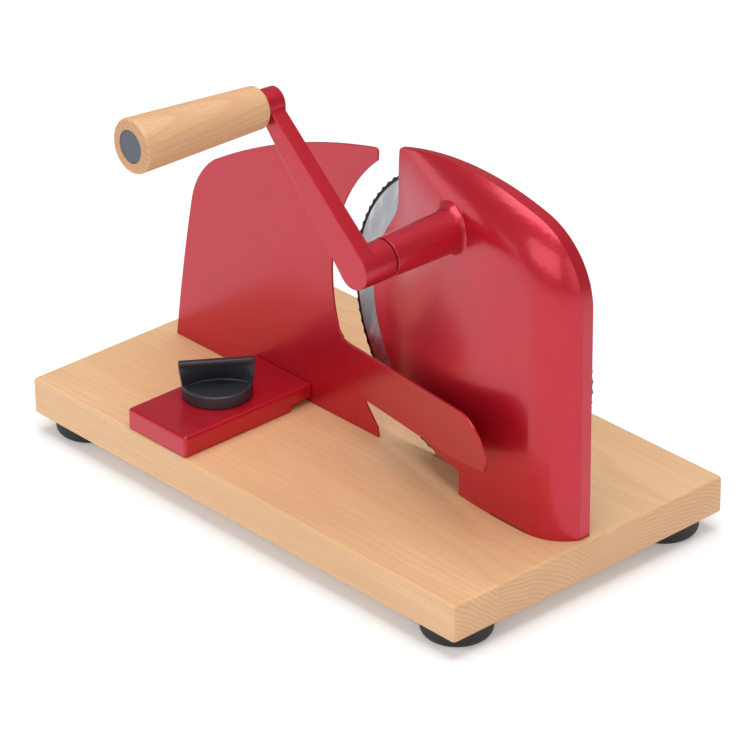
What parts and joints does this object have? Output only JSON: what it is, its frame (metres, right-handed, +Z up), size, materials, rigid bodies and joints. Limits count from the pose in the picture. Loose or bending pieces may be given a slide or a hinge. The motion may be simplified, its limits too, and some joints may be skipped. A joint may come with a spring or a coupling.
{
  "type": "bread slicer with crank",
  "caption": "Hand-cranked bread slicer: beech base, red blade housing, toothed disc blade geared to a crank with a wooden grip, and a sliding stop plate clamped by a knob.",
  "frame": {"origin": "middle of the whole object's box in plan, at the underside of the rubber feet", "axes": "+X along the board from its clamp end to its blade end, +Y from the crank side to the bread side, +Z up"},
  "size_m": [0.36, 0.2842, 0.2894],
  "materials": {
    "beech": "oiled beech, satin",
    "grip_beech": "lacquered beech, satin",
    "rubber": "black rubber, matt",
    "red_paint": "gloss red enamel",
    "red_sheet": "gloss red enamel on sheet steel",
    "blade_steel": "ground stainless steel",
    "zinc_steel": "zinc plated",
    "bright_steel": "ground bright",
    "gear_steel": "machined steel, oiled",
    "black_steel": "blackened steel",
    "bronze": "sintered bronze",
    "nylon": "dark nylon",
    "brass": "machined brass",
    "knob_plastic": "moulded dark grey plastic, satin",
    "cap_plastic": "blue-grey plastic, satin",
    "key_plastic": "natural acetal"
  },
  "bodies": {
    "base": {"base_board": "beech", "foot_front_left": "rubber", "foot_front_right": "rubber", "foot_back_left": "rubber", "foot_back_right": "rubber", "foot_screws": "zinc_steel", "blade_housing": "red_paint", "housing_screws": "zinc_steel", "crank_bush_front": "bronze", "crank_bush_rear": "bronze", "blade_axle": "bright_steel", "blade_retaining_screw": "zinc_steel"},
    "crank": {"crank_shaft": "bright_steel", "drive_pinion": "gear_steel", "crank_arm": "red_paint", "crank_set_screw": "black_steel", "crank_washer": "nylon", "handle_spindle": "bright_steel", "handle_washer": "zinc_steel"},
    "grip": {"handle_grip": "grip_beech", "handle_cap": "cap_plastic"},
    "blade": {"blade_gear": "gear_steel", "blade_bush": "bronze", "blade": "blade_steel", "blade_screws": "zinc_steel"},
    "slider": {"stop_plate": "red_sheet", "plate_screws": "zinc_steel", "slide_block": "red_paint", "guide_key": "key_plastic", "key_screws": "zinc_steel", "clamp_plate": "zinc_steel", "clamp_bolt": "zinc_steel", "knob_washer": "zinc_steel"},
    "knob": {"clamp_knob": "knob_plastic", "knob_insert": "brass"}
  },
  "joints": [
    {"name": "crank_spin", "type": "hinge", "parent": "base", "child": "crank", "pos_m": [0.087, 0, 0.19778], "axis": [0, 1, 0], "continuous": true},
    {"name": "blade_spin", "type": "hinge", "parent": "base", "child": "blade", "pos_m": [0.0797, 0, 0.12615], "axis": [0, 1, 0], "continuous": true},
    {"name": "grip_spin", "type": "hinge", "parent": "crank", "child": "grip", "pos_m": [0.01503, -0.05336, 0.27076], "axis": [-0.0367, -0.9986, 0.0373], "continuous": true},
    {"name": "thickness_slide", "type": "slide", "parent": "base", "child": "slider", "axis": [0, 1, 0], "range_m": [-0.0098, 0.0058]},
    {"name": "knob_turn", "type": "hinge", "parent": "slider", "child": "knob", "pos_m": [-0.0717, -0.01626, 0.0482], "axis": [0, 0, 1], "range_deg": [0, 180]}
  ],
  "couplings": [
    {"joint": "blade_spin", "follows": "crank_spin", "ratio": -0.43284}
  ]
}
